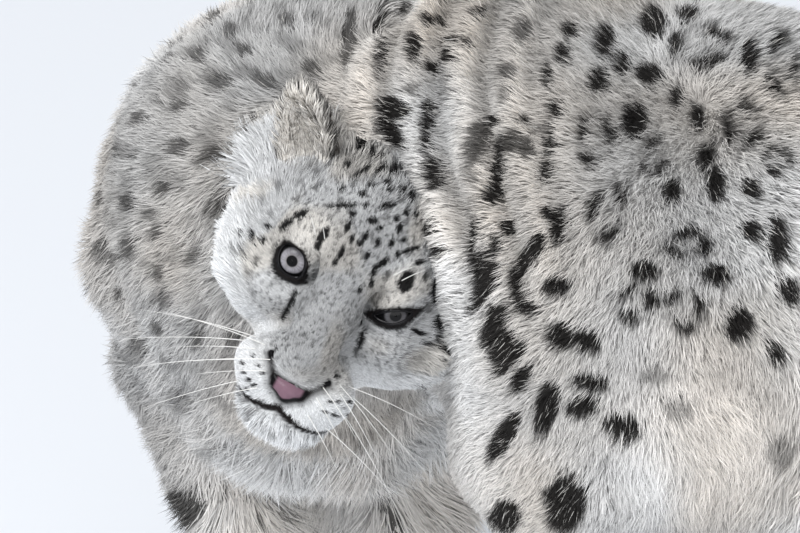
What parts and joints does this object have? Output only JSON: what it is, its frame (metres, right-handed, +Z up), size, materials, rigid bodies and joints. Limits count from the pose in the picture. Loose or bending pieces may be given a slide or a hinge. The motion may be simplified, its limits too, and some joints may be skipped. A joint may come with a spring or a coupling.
{
  "type": "snow leopard",
  "caption": "Life-size standing snow leopard, still: the body bends round so that the head leans on its own flank, with a thick spotted coat and a long tail.",
  "frame": {"origin": "on the floor, below the middle of the box that holds the whole animal", "axes": "+Z up; the face looks along -Y; the animal's hindquarters run off along +X"},
  "size_m": [1.062, 0.4674, 0.6619],
  "materials": {
    "coat": "thick soft winter fur, smoky grey-white with black rosettes, matt",
    "pale_coat": "shorter pale fur of the legs and paws, with small black spots, matt",
    "eye": "wet, clear cornea over a pale grey-blue iris with a round black pupil",
    "nose_leather": "moist pebbled skin, mauve-pink with black borders",
    "bare_skin": "black bare skin of the lids, lips and nostrils, slightly moist",
    "whisker": "stiff white whisker hair, slight sheen",
    "claw": "pale horn, smooth"
  },
  "bodies": {
    "root": {"head": "coat", "nose": "nose_leather", "eye_right": "eye", "eye_left": "eye", "ear_right": "coat", "ear_left": "coat", "neck": "coat", "chest": "coat", "flank": "coat", "hips": "coat", "foreleg_left": "pale_coat", "forepaw_left": "pale_coat", "foreleg_right": "pale_coat", "forepaw_right": "pale_coat", "hindleg_left": "pale_coat", "hindpaw_left": "pale_coat", "hindleg_right": "pale_coat", "hindpaw_right": "pale_coat", "tail_1": "coat", "tail_2": "coat", "tail_3": "coat", "tail_4": "coat"}
  },
  "joints": []
}
